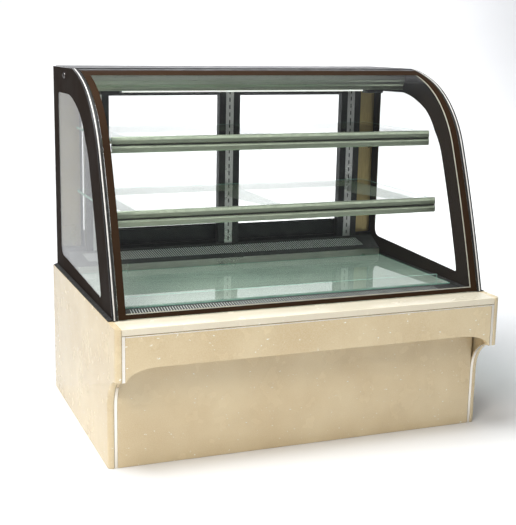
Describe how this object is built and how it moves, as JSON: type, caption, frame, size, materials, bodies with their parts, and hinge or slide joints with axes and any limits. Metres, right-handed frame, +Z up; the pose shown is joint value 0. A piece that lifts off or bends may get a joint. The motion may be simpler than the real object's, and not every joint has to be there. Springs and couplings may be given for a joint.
{
  "type": "glass display showcase",
  "caption": "Curved-glass refrigerated display showcase with lit glass shelves, rear sliding doors and a stone-clad base.",
  "frame": {"origin": "on the floor under the middle of the cabinet's bounding box", "axes": "+X along the counter to the customer's right, -Y towards the customer, +Y towards the staff side, +Z up"},
  "size_m": [1.2, 0.85, 1.098],
  "materials": {
    "cream_stone": "polished artificial stone, cream with small pale flecks",
    "bright_steel": "mirror-polished stainless",
    "grey_steel": "zinc grey, satin",
    "black_coat": "black powder coat, satin",
    "black_rubber": "matt black seal",
    "clear_glass": "clear toughened glass, faint green",
    "silver_aluminium": "satin anodised",
    "lamp_white": "opal diffuser",
    "foam_white": "lined foam",
    "compressor_black": "black enamel",
    "fan_grey": "moulded grey",
    "switch_red": "moulded red"
  },
  "bodies": {
    "cabinet": {"base_frame": "grey_steel", "centre_post": "black_coat", "compressor": "compressor_black", "condenser_coil": "silver_aluminium", "condenser_fan_shroud": "grey_steel", "control_box": "black_coat", "cord_gland": "black_rubber", "deck_glass": "clear_glass", "door_bottom_track": "black_coat", "door_top_track": "black_coat", "evaporator_coil": "silver_aluminium", "evaporator_fan_plate": "grey_steel", "front_air_grille": "black_coat", "front_apron": "cream_stone", "front_guard_glass": "clear_glass", "front_sill": "silver_aluminium", "insulated_tub": "foam_white", "kick_panel": "cream_stone", "lamp_housing": "silver_aluminium", "left_dome_bolt": "bright_steel", "left_edge_gasket": "black_rubber", "left_edge_trim": "bright_steel", "left_end_glass": "clear_glass", "left_post": "black_coat", "left_profile_strip": "bright_steel", "left_stone_side": "cream_stone", "lower_shelf_carrier": "silver_aluminium", "lower_shelf_glass": "clear_glass", "lower_shelf_lamp": "lamp_white", "lower_shelf_rail": "silver_aluminium", "rear_air_grille": "black_coat", "rear_service_panel": "grey_steel", "right_dome_bolt": "bright_steel", "right_edge_gasket": "black_rubber", "right_edge_trim": "bright_steel", "right_end_glass": "clear_glass", "right_post": "black_coat", "right_profile_strip": "bright_steel", "right_stone_side": "cream_stone", "stone_ledge": "cream_stone", "top_lamp": "lamp_white", "top_panel": "black_coat", "upper_shelf_carrier": "silver_aluminium", "upper_shelf_glass": "clear_glass", "upper_shelf_lamp": "lamp_white", "upper_shelf_rail": "silver_aluminium"},
    "front_glass_pane": {"front_glass": "clear_glass", "front_glass_hinge_rail": "black_coat"},
    "left_door": {"left_door_frame": "black_coat", "left_door_glass": "clear_glass"},
    "right_door": {"right_door_frame": "black_coat", "right_door_glass": "clear_glass"},
    "condenser_fan_rotor": {"condenser_fan": "fan_grey"},
    "evaporator_fan_rotor": {"evaporator_fan": "fan_grey"},
    "drip_tray": {"condensate_tray": "grey_steel"},
    "power_rocker": {"power_switch": "switch_red"},
    "light_rocker": {"light_switch": "fan_grey"},
    "set_key": {"set_button": "fan_grey"},
    "up_key": {"up_button": "fan_grey"},
    "down_key": {"down_button": "fan_grey"}
  },
  "joints": [
    {"name": "front_glass_lift", "type": "hinge", "parent": "cabinet", "child": "front_glass_pane", "pos_m": [0, 0.1235, 1.093], "axis": [-1, 0, 0], "range_deg": [0, 60]},
    {"name": "left_door_slide", "type": "slide", "parent": "cabinet", "child": "left_door", "axis": [1, 0, 0], "range_m": [0, 0.52]},
    {"name": "right_door_slide", "type": "slide", "parent": "cabinet", "child": "right_door", "axis": [-1, 0, 0], "range_m": [0, 0.52]},
    {"name": "condenser_fan_spin", "type": "hinge", "parent": "cabinet", "child": "condenser_fan_rotor", "pos_m": [0.06, 0.278, 0.127], "axis": [0, 1, 0], "continuous": true},
    {"name": "evaporator_fan_spin", "type": "hinge", "parent": "cabinet", "child": "evaporator_fan_rotor", "pos_m": [0, 0.09, 0.33], "axis": [0, 1, 0], "continuous": true},
    {"name": "drip_tray_slide", "type": "slide", "parent": "cabinet", "child": "drip_tray", "axis": [0, 1, 0], "range_m": [0, 0.25]},
    {"name": "power_switch_rock", "type": "hinge", "parent": "cabinet", "child": "power_rocker", "pos_m": [0.35, 0.42, 0.365], "axis": [1, 0, 0], "range_deg": [0, 16]},
    {"name": "light_switch_rock", "type": "hinge", "parent": "cabinet", "child": "light_rocker", "pos_m": [0.376, 0.42, 0.365], "axis": [1, 0, 0], "range_deg": [0, 16]},
    {"name": "set_button_press", "type": "slide", "parent": "cabinet", "child": "set_key", "axis": [0, -1, 0], "range_m": [0, 0.0015], "stiffness_N_per_m": 600, "springref_m": -0.0008},
    {"name": "up_button_press", "type": "slide", "parent": "cabinet", "child": "up_key", "axis": [0, -1, 0], "range_m": [0, 0.0015], "stiffness_N_per_m": 600, "springref_m": -0.0008},
    {"name": "down_button_press", "type": "slide", "parent": "cabinet", "child": "down_key", "axis": [0, -1, 0], "range_m": [0, 0.0015], "stiffness_N_per_m": 600, "springref_m": -0.0008}
  ]
}
